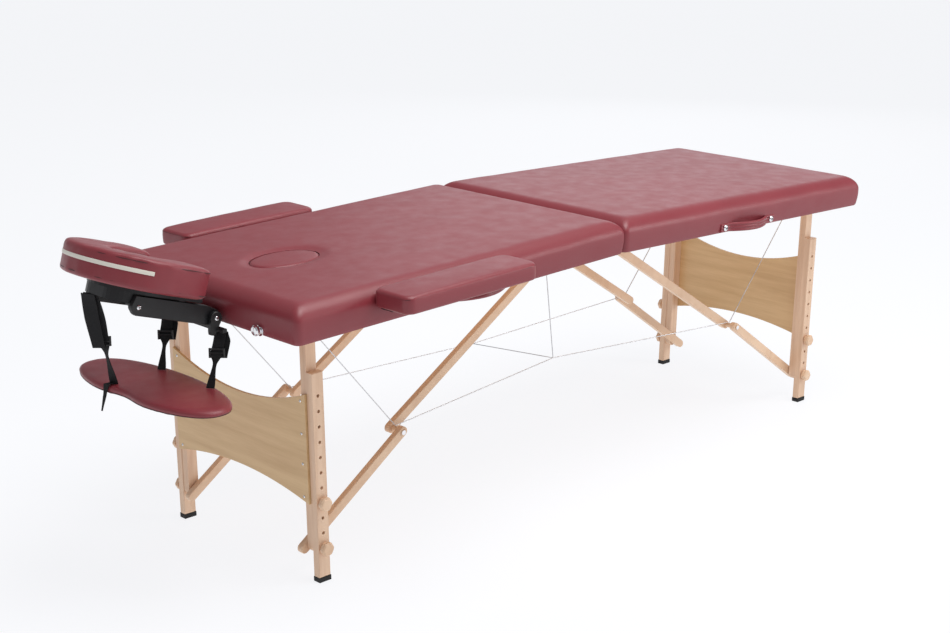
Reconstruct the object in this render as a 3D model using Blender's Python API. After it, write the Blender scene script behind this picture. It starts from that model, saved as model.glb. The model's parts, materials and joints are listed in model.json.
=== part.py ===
"""Portable massage table with adjustable wooden legs, face cradle, armrests and arm sling.

Metres, +Z up, +X from the head end to the foot end, floor at Z = 0, origin under the middle of the whole box.
Each half of the table is modelled level in its own frame and then tipped by TILT about the hinge line, because
a table standing under its cable tension is a little higher in the middle. In a half's frame, u is the distance
from the hinge line outwards, y is the side, and w is the height above the lower edge of the upholstery.
"""

import math

import bmesh
import bpy

# Table top
HINGE_X = 0.1437          # the hinge line, so that the whole object is centred on the origin
HINGE_Z = 0.549           # lower edge of the upholstery at the hinge line
TILT = math.radians(1.55)  # slope of each half, down towards its end
HALF_LENGTH = 0.9253
HALF_WIDTH = 0.299
TOP = 0.076               # thickness of frame and padding together
CREASE = 0.0015           # half the gap between the two pads at the hinge
PAD_ROUND = 0.022
PAD_ROUND_STEPS = 4
PAD_CORNER = 0.012         # the corners seen from above
GAP = 0.0003              # clearance between touching pieces

# Frame under each pad
FRAME_START = 0.004
FRAME_END = 0.913
FRAME_HALF_WIDTH = 0.290
FRAME_HEIGHT = 0.050
RAIL = 0.020
DECK = 0.004
HINGE_DROP = 0.0035       # centre of the hinge knuckles below the upholstery edge
KNUCKLE_RADIUS = 0.0028
HINGE_LENGTH = 0.520
KNUCKLES = 13

# Face hole
PLUG_U = 0.714
PLUG_LONG = 0.0800        # half axes of the plug
PLUG_WIDE = 0.0550
PLUG_CLEARANCE = 0.0015
PLUG_LEDGE = 0.008

# Legs
LEG_U = 0.832
PIVOT_W = 0.022           # leg and brace pivots, inside the frame
OUTER_Y = 0.2373          # outer face of the extension leg
EXTENSION_THICK = 0.0176
EXTENSION_WIDE = 0.0287
INNER_THICK = 0.0180
INNER_WIDE = 0.0250
INNER_BOTTOM_W = -0.4690
EXTENSION_TOP_W = -0.0863
CAP_HEIGHT = 0.010
HOLE_PITCH = 0.032
HOLE_COUNT = 11
TOP_HOLE_W = -0.1337
HOLE_RADIUS = 0.0036
HOLE_DEPTH = 0.012
UPPER_KNOB_HOLE = 7       # counted from the top hole, 0
LOWER_KNOB_HOLE = 10
KNOB_RADIUS = 0.0150
KNOB_THICK = 0.0155
KNOB_LOBES = 6

# End panels
PANEL_THICK = 0.006
PANEL_HALF_WIDTH = 0.2190
PANEL_TOP_W = -0.131
PANEL_BOTTOM_W = -0.361
PANEL_TOP_SAG = 0.044
PANEL_BOTTOM_ARCH = 0.027

# Braces
LINK_WIDE = 0.0205
LINK_THICK = 0.0142
UPPER_PIVOT_U = 0.049
ELBOW_SPACER = 0.0186     # gap between the two links of one brace
BRACE_SLACK = 0.0002      # how much longer the two links are than the straight line between their pivots
LINK_TAIL = 0.029         # wood past the lower pivot
ELBOW_TAIL = 0.013        # wood of the upper link past the elbow
SPACER_RADIUS = 0.0060
BOLT_RADIUS = 0.0048
BOLT_HEAD = 0.0030

# Cables
CABLE_RADIUS = 0.0011
CABLE_ANCHOR_U = 0.846
CABLE_RISE = 0.0090       # the cable passes this far above the elbow bolt
JUNCTION_Y = -0.093       # where the cross wire pulls the right side cable in
JUNCTION_Z = 0.261
FAR_MIDDLE_Z = 0.237
HINGE_WIRE_Y = -0.056     # top of the wire from the junction up to the hinge

# Carry handles
HANDLE_START = 0.345
HANDLE_END = 0.555
HANDLE_TAB = 0.034
HANDLE_BOW = 0.024
HANDLE_THICK = 0.0055
HANDLE_HALF_HEIGHT = 0.0105
HANDLE_W = 0.0130

# Latch studs
STUD_Y = 0.187
STUD_W = 0.0115

# Armrests
ARM_START = 0.385
ARM_END = 0.741
ARM_INNER_Y = 0.3020
ARM_OUTER_Y = 0.4030
ARM_BOTTOM_W = 0.0405
ARM_TOP_W = 0.0765
ARM_ROD_U = (0.440, 0.700)
ARM_ROD_W = 0.0300
ARM_ROD_RADIUS = 0.0050
ARM_ROD_INNER_Y = 0.262
ROD_CLEARANCE = 0.0006

# Face cradle, in a frame at the arm pivot: s runs out along the arms, n is up from them
CRADLE_U = 0.9529
CRADLE_W = 0.0187
CRADLE_TILT = math.radians(18.7)
CRADLE_ROD_Y = 0.050
CRADLE_ROD_RADIUS = 0.006
CRADLE_ROD_END_U = 0.866
CROSS_RADIUS = 0.012
LUG_WIDE = 0.026
LUG_DROP = 0.0135         # underside of the lugs round the rods, below their middle
STRAP_BAR = 0.102         # half length of the bar that the rear straps hang from
STRAP_BAR_U = (0.940, 0.950)
STRAP_BAR_W = (-0.009, -0.002)
ARMS_INNER_Y = 0.068
ARMS_THICK = 0.010
ARMS_LENGTH = 0.1750      # arm pivot to platform pivot
ARMS_TOP = 0.0215
PLATE_LOW = 0.0245
PLATE_THICK = 0.0085
PLATE_RADIUS = 0.085
PLATE_INNER = 0.0558
SKIRT_HALF_WIDTH = 0.0672
SKIRT_FRONT_S = 0.2205
SKIRT_CORNER = 0.045
SKIRT_THICK = 0.010
SKIRT_LOW = 0.0035
CUSHION_LOW = 0.0345
CUSHION_TOP = 0.0965
CUSHION_CENTRE_S = 0.1436
CUSHION_RADIUS = 0.140
CUSHION_INNER = 0.056
CUSHION_TIP_S = 0.0696
LEVER_LENGTH = 0.034
LEVER_THICK = 0.010

# Arm sling, level, measured from the hinge line in X
SLING_X = -1.045
SLING_Z = 0.412           # top of the board
SLING_THICK = 0.016
SLING_HALF_LENGTH = 0.221
SLING_HALF_WIDTH = 0.083
SLING_NOTCH = 0.018       # how far the outer edge is drawn in at its middle
STRAP_THICK = 0.0022
REAR_STRAP_LOW_Y = {"right": -0.104, "left": 0.058}  # the board hangs a little to the right
FRONT_STRAP_Y = (0.046, 0.024)  # at the board and at the skirt

SIDES = {"right": -1, "left": 1}
ENDS = {"head": -1, "foot": 1}


def clear_scene():
    for obj in list(bpy.data.objects):
        bpy.data.objects.remove(obj, do_unlink=True)


def material(name, colour, roughness, metallic=0.0):
    made = bpy.data.materials.new(name)
    made.use_nodes = True
    shader = made.node_tree.nodes["Principled BSDF"]
    shader.inputs["Base Color"].default_value = (*colour, 1.0)
    shader.inputs["Roughness"].default_value = roughness
    shader.inputs["Metallic"].default_value = metallic
    made.diffuse_color = (*colour, 1.0)
    return made


def empty(name, location, turn_y=0.0, parent=None):
    made = bpy.data.objects.new(name, None)
    made.location = location
    made.rotation_euler = (0.0, turn_y, 0.0)
    made.parent = parent
    bpy.context.scene.collection.objects.link(made)
    return made


def add_mesh(name, work, finish=None, parent=None, location=(0, 0, 0), smooth=False):
    """A named object from a bmesh, which is closed and turned outwards here."""
    bmesh.ops.recalc_face_normals(work, faces=work.faces)
    mesh = bpy.data.meshes.new(name)
    work.to_mesh(mesh)
    work.free()
    if smooth:
        mesh.shade_smooth()
        mesh.set_sharp_from_angle(angle=math.radians(35))
    if finish:
        mesh.materials.append(finish)
    made = bpy.data.objects.new(name, mesh)
    made.location = location
    made.parent = parent
    bpy.context.scene.collection.objects.link(made)
    return made


PLANES = {
    "X": lambda a, b, depth: (depth, a, b),
    "Y": lambda a, b, depth: (a, depth, b),
    "Z": lambda a, b, depth: (a, b, depth),
}


def prism(outline, axis, low, high, bevel=0.0, segments=2):
    """A bmesh prism: outline in the plane across the axis, from low to high along it."""
    place = PLANES[axis]
    work = bmesh.new()
    lower = [work.verts.new(place(a, b, low)) for a, b in outline]
    upper = [work.verts.new(place(a, b, high)) for a, b in outline]
    rims = [work.faces.new(lower), work.faces.new(list(reversed(upper)))]
    for i in range(len(outline)):
        j = (i + 1) % len(outline)
        work.faces.new((lower[i], upper[i], upper[j], lower[j]))
    if bevel:
        edges = list({edge for face in rims for edge in face.edges})
        bmesh.ops.bevel(work, geom=edges, offset=bevel, segments=segments, affect="EDGES", profile=0.5)
    return work


def rectangle(a0, a1, b0, b1, radius=0.0, steps=3):
    """A rectangle's outline, with rounded corners where a radius is given."""
    if not radius:
        return [(a0, b0), (a1, b0), (a1, b1), (a0, b1)]
    points = []
    corners = [(a1 - radius, b0 + radius, -90), (a1 - radius, b1 - radius, 0),
               (a0 + radius, b1 - radius, 90), (a0 + radius, b0 + radius, 180)]
    for a, b, start in corners:
        for i in range(steps + 1):
            angle = math.radians(start + 90 * i / steps)
            points.append((a + radius * math.cos(angle), b + radius * math.sin(angle)))
    return points


def arc(centre_a, centre_b, radius_a, radius_b, start, end, steps):
    """Points along an elliptical arc, angles in degrees."""
    points = []
    for i in range(steps + 1):
        angle = math.radians(start + (end - start) * i / steps)
        points.append((centre_a + radius_a * math.cos(angle), centre_b + radius_b * math.sin(angle)))
    return points


def ellipse(centre_a, centre_b, radius_a, radius_b, steps):
    return arc(centre_a, centre_b, radius_a, radius_b, 0, 360, steps)[:-1]


def block(x0, x1, y0, y1, z0, z1, bevel=0.0, segments=1):
    """A bmesh box with all its edges bevelled."""
    work = prism(rectangle(x0, x1, y0, y1), "Z", z0, z1)
    if bevel:
        bmesh.ops.bevel(work, geom=list(work.edges), offset=bevel, segments=segments, affect="EDGES")
    return work


def stack(outlines, heights):
    """A closed solid through outlines of equal point count, each at its own height."""
    work = bmesh.new()
    rings = [[work.verts.new((x, y, z)) for x, y in outline] for outline, z in zip(outlines, heights)]
    work.faces.new(list(reversed(rings[0])))
    work.faces.new(rings[-1])
    for lower, upper in zip(rings, rings[1:]):
        for i in range(len(lower)):
            j = (i + 1) % len(lower)
            work.faces.new((lower[i], lower[j], upper[j], upper[i]))
    return work


def rod(axis, centre, radius, low, high, steps=16, bevel=0.0):
    return prism(ellipse(*centre, radius, radius, steps), axis, low, high, bevel, 1)


def combine(made, work, operation):
    """Joins (UNION) or cuts (DIFFERENCE) a bmesh, given in the object's own coordinates."""
    tool = add_mesh("tool", work)
    bpy.context.view_layer.update()
    tool.matrix_world = made.matrix_world
    modifier = made.modifiers.new("combine", "BOOLEAN")
    modifier.object = tool
    modifier.operation = operation
    modifier.solver = "EXACT"
    bpy.context.view_layer.update()
    graph = bpy.context.evaluated_depsgraph_get()
    old = made.data
    mesh = bpy.data.meshes.new_from_object(made.evaluated_get(graph))
    made.modifiers.clear()
    made.data = mesh
    mesh.name = made.name
    bpy.data.meshes.remove(old)
    bpy.data.objects.remove(tool, do_unlink=True)


def fuse(made, *works):
    for work in works:
        combine(made, work, "UNION")


def cut(made, *works):
    for work in works:
        combine(made, work, "DIFFERENCE")


def span(sign, near, far):
    """Low and high coordinates of a stretch on one side: near and far are distances from the middle."""
    return (near, far) if sign > 0 else (-far, -near)


def pad(name, end, sign, half, leather, rods):
    """Foam and leather: a rounded slab with a skirt that comes down round the frame."""
    low, high = span(sign, CREASE, HALF_LENGTH)
    insets, heights = [0.0], [0.0]
    for i in range(PAD_ROUND_STEPS + 1):
        angle = math.pi / 2 * i / PAD_ROUND_STEPS
        insets.append(PAD_ROUND * (1 - math.cos(angle)))
        heights.append(TOP - PAD_ROUND * (1 - math.sin(angle)))
    outlines = [rectangle(low + d, high - d, d - HALF_WIDTH, HALF_WIDTH - d, PAD_CORNER, 4) for d in insets]
    made = add_mesh(name, stack(outlines, heights), leather, half)
    low, high = span(sign, FRAME_START - GAP, FRAME_END + GAP)
    width = FRAME_HALF_WIDTH + GAP
    cut(made, block(low, high, -width, width, -0.01, FRAME_HEIGHT + GAP))
    if end == "head":
        hole = ellipse(sign * PLUG_U, 0, PLUG_LONG + PLUG_CLEARANCE, PLUG_WIDE + PLUG_CLEARANCE, 40)
        cut(made, prism(hole, "Z", 0.02, TOP + 0.01))
        cut(made, *rods())
    return made


def frame(name, end, sign, half, wood, rods):
    """Rails and deck as one tray, with the blocks that carry the leg and brace pivots."""
    low, high = span(sign, FRAME_START, FRAME_END)
    made = add_mesh(name, block(low, high, -FRAME_HALF_WIDTH, FRAME_HALF_WIDTH, 0, FRAME_HEIGHT), wood, half)
    low, high = span(sign, FRAME_START + RAIL, FRAME_END - RAIL)
    width = FRAME_HALF_WIDTH - RAIL
    cut(made, block(low, high, -width, width, -0.01, FRAME_HEIGHT - DECK))
    for side in SIDES.values():
        x0, x1 = span(sign, LEG_U - 0.024, LEG_U + 0.024)
        y0, y1 = span(side, OUTER_Y - EXTENSION_THICK, FRAME_HALF_WIDTH - RAIL + 0.004)
        fuse(made, block(x0, x1, y0, y1, 0.002, FRAME_HEIGHT - 0.002))
        x0, x1 = span(sign, FRAME_START + RAIL - 0.004, UPPER_PIVOT_U + 0.022)
        y0, y1 = span(side, upper_link_outer() + GAP, upper_link_outer() + 0.026)
        fuse(made, block(x0, x1, y0, y1, 0.002, FRAME_HEIGHT - 0.002))
    if end == "head":
        hole = ellipse(sign * PLUG_U, 0, PLUG_LONG - PLUG_LEDGE, PLUG_WIDE - PLUG_LEDGE, 32)
        cut(made, prism(hole, "Z", 0.02, FRAME_HEIGHT + 0.01))
        cut(made, *rods())
    return made


def rod_holes():
    """Sockets for the cradle's rods in the head end and for the armrests' rods in both sides."""
    radius = CRADLE_ROD_RADIUS + ROD_CLEARANCE
    for side in SIDES.values():
        yield rod("X", (side * CRADLE_ROD_Y, CRADLE_W), radius, -HALF_LENGTH - 0.01, -FRAME_END + RAIL + 0.01)
        for u in ARM_ROD_U:
            y0, y1 = span(side, FRAME_HALF_WIDTH - RAIL - 0.01, HALF_WIDTH + 0.01)
            yield rod("Y", (-u, ARM_ROD_W), ARM_ROD_RADIUS + ROD_CLEARANCE, y0, y1)


def plug(sign, half, leather):
    x = sign * PLUG_U
    low = FRAME_HEIGHT + GAP
    work = prism(ellipse(0, 0, PLUG_LONG, PLUG_WIDE, 40), "Z", low, TOP + 0.002)
    rim = [e for e in work.edges if all(v.co.z > TOP for v in e.verts)]
    bmesh.ops.bevel(work, geom=rim, offset=0.008, segments=3, affect="EDGES")
    return add_mesh("face_hole_plug", work, leather, half, (x, 0, 0), smooth=True)


def hinge_leaf(end, sign, half, steel):
    """A leaf under the frame's end rail, with every second knuckle of the hinge."""
    low, high = span(sign, 0.0036, 0.021)
    made = add_mesh(f"{end}_hinge_leaf",
                    block(low, high, -HINGE_LENGTH / 2, HINGE_LENGTH / 2, -0.0021, -GAP), steel, half)
    pitch = HINGE_LENGTH / KNUCKLES
    for i in range(KNUCKLES):
        if i % 2 == (0 if end == "head" else 1):
            y0 = -HINGE_LENGTH / 2 + i * pitch + GAP
            y1 = y0 + pitch - 2 * GAP
            x0, x1 = span(sign, 0.0, 0.0050)
            fuse(made, block(x0, x1, y0, y1, -0.0030, -0.0011))
            fuse(made, rod("Y", (0, -HINGE_DROP), KNUCKLE_RADIUS, y0 - 0.0001, y1 + 0.0001, 12))
    return made


def carry_handle(end, sign, half, leather):
    """A strap on the right side, flat at both ends and bowed out between them."""
    flat = HALF_WIDTH + GAP
    bow_start = HANDLE_START + HANDLE_TAB
    bow_end = HANDLE_END - HANDLE_TAB
    steps = 12
    inner = [(HANDLE_START, flat)]
    outer = [(HANDLE_START, flat + HANDLE_THICK)]
    for i in range(steps + 1):
        part = i / steps
        u = bow_start + (bow_end - bow_start) * part
        rise = HANDLE_BOW * math.sin(math.pi * part) ** 0.8
        inner.append((u, flat + rise))
        outer.append((u, flat + HANDLE_THICK + rise))
    inner.append((HANDLE_END, flat))
    outer.append((HANDLE_END, flat + HANDLE_THICK))
    outline = [(sign * u, -y) for u, y in inner + outer[::-1]]
    low, high = HANDLE_W - HANDLE_HALF_HEIGHT, HANDLE_W + HANDLE_HALF_HEIGHT
    return add_mesh(f"{end}_carry_handle", prism(outline, "Z", low, high, 0.0012, 1), leather, half)


def turned(profile, steps=24):
    """A bmesh solid turned about X: profile is (distance along X, radius), ends on the axis."""
    work = bmesh.new()
    rings = []
    for x, radius in profile:
        if radius == 0:
            rings.append([work.verts.new((x, 0, 0))])
        else:
            rings.append([work.verts.new((x, radius * math.cos(2 * math.pi * i / steps),
                                          radius * math.sin(2 * math.pi * i / steps))) for i in range(steps)])
    for first, second in zip(rings, rings[1:]):
        for i in range(steps):
            j = (i + 1) % steps
            if len(first) == 1:
                work.faces.new((first[0], second[i], second[j]))
            elif len(second) == 1:
                work.faces.new((first[i], first[j], second[0]))
            else:
                work.faces.new((first[i], first[j], second[j], second[i]))
    return work


def latch_stud(side_name, side, half, chrome):
    """A round chrome stud on the head end, where the closed table is latched."""
    start = HALF_LENGTH + GAP
    profile = [(start, 0), (start, 0.0125), (start + 0.002, 0.0125), (start + 0.003, 0.0070),
               (start + 0.006, 0.0070), (start + 0.0075, 0.0105), (start + 0.0125, 0.0110),
               (start + 0.0150, 0.0080), (start + 0.0155, 0)]
    profile = [(-x, radius) for x, radius in profile]
    return add_mesh(f"{side_name}_latch_stud", turned(profile), chrome, half,
                    (0, side * STUD_Y, STUD_W), smooth=True)


def hole_w(index):
    return TOP_HOLE_W - HOLE_PITCH * index


def inner_leg(name, axle, side, wood):
    """Hangs from its pivot; origin of its frame is the pivot, and it is rounded over at both ends."""
    half_wide = INNER_WIDE / 2
    bottom = INNER_BOTTOM_W - PIVOT_W
    outline = arc(0, 0, half_wide, half_wide, 0, 180, 10)
    outline += arc(0, bottom + half_wide, half_wide, half_wide, 180, 360, 10)
    y1 = OUTER_Y - EXTENSION_THICK - GAP
    low, high = span(side, y1 - INNER_THICK, y1)
    return add_mesh(name, prism(outline, "Y", low, high, 0.001, 1), wood, axle)


def extension_leg(name, axle, side, sign, wood):
    """The outer leg, with its row of height holes; its foot end is cut level for the cap."""
    half_wide = EXTENSION_WIDE / 2
    top = EXTENSION_TOP_W - PIVOT_W
    floor = [floor_w(sign, sign * LEG_U + x, CAP_HEIGHT + GAP) - PIVOT_W for x in (-half_wide, half_wide)]
    outline = [(-half_wide, top), (-half_wide, floor[0]), (half_wide, floor[1]), (half_wide, top)]
    low, high = span(side, OUTER_Y - EXTENSION_THICK, OUTER_Y)
    made = add_mesh(name, prism(outline, "Y", low, high, 0.001, 1), wood, axle)
    y0, y1 = span(side, OUTER_Y - HOLE_DEPTH, OUTER_Y + 0.01)
    for i in range(HOLE_COUNT):
        if i not in (UPPER_KNOB_HOLE, LOWER_KNOB_HOLE):
            cut(made, rod("Y", (0, hole_w(i) - PIVOT_W), HOLE_RADIUS, y0, y1, 10))
    return made


def floor_w(sign, x, height):
    """The w, in a half's frame, of the point at x that stands at this height above the floor."""
    return (height - HINGE_Z + sign * x * math.sin(TILT)) / math.cos(TILT)


def foot_cap(name, axle, side, sign, rubber):
    """A block under the extension leg, level with the floor."""
    half_wide = EXTENSION_WIDE / 2 + 0.0006
    ends = (-half_wide, half_wide)
    low = [floor_w(sign, sign * LEG_U + x, 0.0) - PIVOT_W for x in ends]
    high = [floor_w(sign, sign * LEG_U + x, CAP_HEIGHT) - PIVOT_W for x in ends]
    outline = [(ends[0], low[0]), (ends[1], low[1]), (ends[1], high[1]), (ends[0], high[0])]
    y0, y1 = span(side, OUTER_Y - EXTENSION_THICK - 0.0002, OUTER_Y + 0.0006)
    return add_mesh(name, prism(outline, "Y", y0, y1), rubber, axle)


def knob(name, axle, side, index, wood):
    """A six-lobed wooden knob, domed on its outer face."""
    steps = 4 * KNOB_LOBES
    y0 = OUTER_Y + GAP
    layers = [(0.0, 0.62), (0.0035, 0.66), (0.0045, 0.97), (0.0125, 1.0), (KNOB_THICK, 0.80)]
    work = bmesh.new()
    rings = []
    for depth, scale in layers:
        ring = []
        for i in range(steps):
            angle = 2 * math.pi * i / steps
            lobe = 1 - 0.10 * (0.5 - 0.5 * math.cos(KNOB_LOBES * angle)) * (1 if depth > 0.004 else 0)
            radius = KNOB_RADIUS * scale * lobe
            ring.append(work.verts.new((radius * math.cos(angle), side * (y0 + depth), radius * math.sin(angle))))
        rings.append(ring)
    for first, second in zip(rings, rings[1:]):
        for i in range(steps):
            j = (i + 1) % steps
            work.faces.new((first[i], first[j], second[j], second[i]))
    work.faces.new(rings[0])
    work.faces.new(rings[-1])
    return add_mesh(name, work, wood, axle, (0, 0, hole_w(index) - PIVOT_W), smooth=True)


def end_panel(end, sign, axle, ply):
    """Thin plywood across the outward faces of a pair of inner legs: a dipped top edge and an arched bottom."""
    def edge(level, sag, steps, reverse):
        points = []
        for i in range(steps + 1):
            y = PANEL_HALF_WIDTH * (1 - 2 * i / steps)
            points.append((y, level - PIVOT_W + sag * (1 - (y / PANEL_HALF_WIDTH) ** 2)))
        return points[::-1] if reverse else points

    outline = edge(PANEL_TOP_W, -PANEL_TOP_SAG, 20, False)
    outline += edge(PANEL_BOTTOM_W, PANEL_BOTTOM_ARCH, 20, True)
    start = INNER_WIDE / 2 + GAP
    low, high = span(sign, start, start + PANEL_THICK)
    return add_mesh(f"{end}_end_panel", prism(outline, "X", low, high), ply, axle)


def lower_link_outer():
    """Outer face of the lower links: the elbow's bolt head has to pass the inner legs as the table folds."""
    return OUTER_Y - EXTENSION_THICK - INNER_THICK - 2 * GAP - BOLT_HEAD


def upper_link_outer():
    return lower_link_outer() - LINK_THICK - ELBOW_SPACER - GAP


def brace():
    """Elbow point and the two link lengths: straight when open, flat against the panel when folded."""
    rise = PIVOT_W - hole_w(LOWER_KNOB_HOLE)
    reach = LEG_U - UPPER_PIVOT_U
    total = math.hypot(rise, reach) + BRACE_SLACK
    difference = reach - rise
    upper = (total + difference) / 2
    lower = (total - difference) / 2
    chord = math.hypot(rise, reach)
    along = (lower ** 2 - upper ** 2 + chord ** 2) / (2 * chord)
    off = math.sqrt(lower ** 2 - along ** 2)
    du, dw = -reach / chord, rise / chord
    elbow_u = LEG_U + du * along + dw * off
    elbow_w = hole_w(LOWER_KNOB_HOLE) + dw * along - du * off
    return elbow_u, elbow_w, lower, upper


def link_outline(start, end, before, after, steps=8):
    """A bar with round ends from start to end, which run past their pivots by before and after."""
    length = math.hypot(end[0] - start[0], end[1] - start[1])
    along = ((end[0] - start[0]) / length, (end[1] - start[1]) / length)
    radius = LINK_WIDE / 2
    points = arc(length + after - radius, 0, radius, radius, -90, 90, steps)
    points += arc(radius - before, 0, radius, radius, 90, 270, steps)
    return [(start[0] + along[0] * a - along[1] * b, start[1] + along[1] * a + along[0] * b) for a, b in points]


def lower_link(name, half, side, sign, wood):
    """From the lower knob's bolt to the elbow, with the elbow's bolt head and spacer."""
    elbow_u, elbow_w, _, _ = brace()
    pivot = (sign * LEG_U, hole_w(LOWER_KNOB_HOLE))
    elbow = (sign * (elbow_u - LEG_U), elbow_w - hole_w(LOWER_KNOB_HOLE))
    outline = link_outline((0, 0), elbow, LINK_TAIL, LINK_WIDE / 2)
    y1 = lower_link_outer()
    low, high = span(side, y1 - LINK_THICK, y1)
    made = add_mesh(name, prism(outline, "Y", low, high, 0.001, 1), wood, half, (pivot[0], 0, pivot[1]))
    low, high = span(side, y1 - LINK_THICK - ELBOW_SPACER, y1 - 0.002)
    fuse(made, rod("Y", elbow, SPACER_RADIUS, low, high, 16))
    low, high = span(side, y1 - 0.003, y1 + BOLT_HEAD)
    fuse(made, rod("Y", elbow, BOLT_RADIUS, low, high, 6))
    return made


def upper_link(name, half, side, sign, wood):
    """From the elbow up to its pivot block under the panel."""
    elbow_u, elbow_w, _, _ = brace()
    pivot = (sign * UPPER_PIVOT_U, PIVOT_W)
    elbow = (sign * (elbow_u - UPPER_PIVOT_U), elbow_w - PIVOT_W)
    outline = link_outline((0, 0), elbow, LINK_WIDE / 2, ELBOW_TAIL)
    y1 = upper_link_outer()
    low, high = span(side, y1 - LINK_THICK, y1)
    return add_mesh(name, prism(outline, "Y", low, high, 0.001, 1), wood, half, (pivot[0], 0, pivot[1]))


def armrest(side_name, side, half, leather):
    """A padded bolster beside the head half, with rounded ends."""
    y0, y1 = span(side, ARM_INNER_Y, ARM_OUTER_Y)
    outline = rectangle(-ARM_END, -ARM_START, y0, y1, 0.020, 5)
    work = prism(outline, "Z", ARM_BOTTOM_W, ARM_TOP_W, 0.010, 3)
    return add_mesh(f"{side_name}_armrest", work, leather, half, smooth=True)


def armrest_bracket(side_name, side, half, steel):
    """A plate under the bolster with two rods that slide into the table's side."""
    y0, y1 = span(side, HALF_WIDTH + 0.004, HALF_WIDTH + 0.036)
    made = add_mesh(f"{side_name}_armrest_bracket",
                    block(-ARM_ROD_U[1] - 0.020, -ARM_ROD_U[0] + 0.020, y0, y1,
                          ARM_ROD_W + 0.0010, ARM_BOTTOM_W - GAP), steel, half)
    for u in ARM_ROD_U:
        y0, y1 = span(side, ARM_ROD_INNER_Y, HALF_WIDTH + 0.030)
        fuse(made, rod("Y", (-u, ARM_ROD_W), ARM_ROD_RADIUS, y0, y1, 16))
    return made


def cradle_base(half, plastic):
    """A cross bar on two rods that slide into the head end, with a lower bar for the sling's rear straps."""
    reach = ARMS_INNER_Y - GAP
    work = rod("Y", (-CRADLE_U, CRADLE_W), CROSS_RADIUS, -reach, reach, 20)
    made = add_mesh("cradle_base", work, plastic, half)
    for side in SIDES.values():
        fuse(made, rod("X", (side * CRADLE_ROD_Y, CRADLE_W), CRADLE_ROD_RADIUS,
                       -CRADLE_U, -CRADLE_ROD_END_U, 16))
        y0, y1 = span(side, CRADLE_ROD_Y - LUG_WIDE / 2, CRADLE_ROD_Y + LUG_WIDE / 2)
        fuse(made, block(-CRADLE_U - 0.004, -HALF_LENGTH - 0.010, y0, y1, CRADLE_W - LUG_DROP, CRADLE_W + 0.0105))
    low, high = span(-1, *STRAP_BAR_U)
    web = CRADLE_ROD_Y + 0.008
    fuse(made, block(low, high, -STRAP_BAR, STRAP_BAR, *STRAP_BAR_W))
    fuse(made, block(low, high, -web, web, STRAP_BAR_W[1] - 0.002, CRADLE_W - LUG_DROP + 0.002))
    return made


def cradle_arms(tilted, plastic):
    """Two side plates joined by a bar; they swing on the ends of the base's cross bar."""
    outline = arc(0, 0, 0.0165, 0.0165, -90, 70, 8)
    outline += [(-0.022, ARMS_TOP), (-ARMS_LENGTH - 0.010, ARMS_TOP), (-ARMS_LENGTH - 0.0145, 0.004)]
    outline += arc(-ARMS_LENGTH, 0, 0.0155, 0.0165, 180, 260, 6)
    made = None
    for side in (-1, 1):
        y0, y1 = span(side, ARMS_INNER_Y, ARMS_INNER_Y + ARMS_THICK)
        work = prism(outline, "Y", y0, y1, 0.0012, 1)
        if made is None:
            made = add_mesh("cradle_arms", work, plastic, tilted)
            fuse(made, rod("Y", (-0.100, -0.010), 0.006, -ARMS_INNER_Y - 0.004, ARMS_INNER_Y + 0.004, 12))
        else:
            fuse(made, work)
    return made


def horseshoe(outer, inner, tip, centre, steps):
    """A horseshoe outline, open towards the table: its round end is at -X, its tips at -tip."""
    points = [(-tip, outer)]
    points += arc(-centre, 0, outer, outer, 90, 270, steps)
    points += [(-tip, -outer), (-tip, -inner)]
    points += arc(-centre, 0, inner, inner, 270, 90, steps)
    points += [(-tip, inner)]
    return points


def bow(half_wide, front, corner):
    """Points round the skirt's front, from its left side to its right side."""
    points = arc(corner - front, half_wide - corner, corner, corner, 90, 180, 8)
    return points + arc(corner - front, corner - half_wide, corner, corner, 180, 270, 8)


def cradle_platform(tilted, plastic):
    """The plate under the cushion, with a skirt under its rim and two lugs that pivot between the arms."""
    outline = horseshoe(PLATE_RADIUS, PLATE_INNER, CUSHION_TIP_S - 0.030, CUSHION_CENTRE_S, 20)
    work = prism(outline, "Z", PLATE_LOW, PLATE_LOW + PLATE_THICK, 0.0015, 1)
    made = add_mesh("cradle_platform", work, plastic, tilted)
    tip = -CUSHION_TIP_S - 0.010
    inner = SKIRT_HALF_WIDTH - SKIRT_THICK
    outline = [(tip, SKIRT_HALF_WIDTH)] + bow(SKIRT_HALF_WIDTH, SKIRT_FRONT_S, SKIRT_CORNER)
    outline += [(tip, -SKIRT_HALF_WIDTH), (tip, -inner)]
    outline += bow(inner, SKIRT_FRONT_S - SKIRT_THICK, SKIRT_CORNER - SKIRT_THICK)[::-1] + [(tip, inner)]
    fuse(made, prism(outline, "Z", SKIRT_LOW, PLATE_LOW + 0.002))
    lug = [(-ARMS_LENGTH + 0.014, SKIRT_LOW + 0.003)]
    lug += arc(-ARMS_LENGTH, 0, 0.012, 0.012, 330, 210, 6)
    lug += [(-ARMS_LENGTH - 0.014, SKIRT_LOW + 0.003)]
    for side in SIDES.values():
        y0, y1 = span(side, inner + 0.0030, SKIRT_HALF_WIDTH + 0.0004)
        fuse(made, prism(lug, "Y", y0, y1))
    return made


def cradle_cushion(tilted, leather):
    outline = horseshoe(CUSHION_RADIUS, CUSHION_INNER, CUSHION_TIP_S, CUSHION_CENTRE_S, 28)
    work = prism(outline, "Z", CUSHION_LOW, CUSHION_TOP, 0.010, 3)
    return add_mesh("cradle_cushion", work, leather, tilted, smooth=True)


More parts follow.
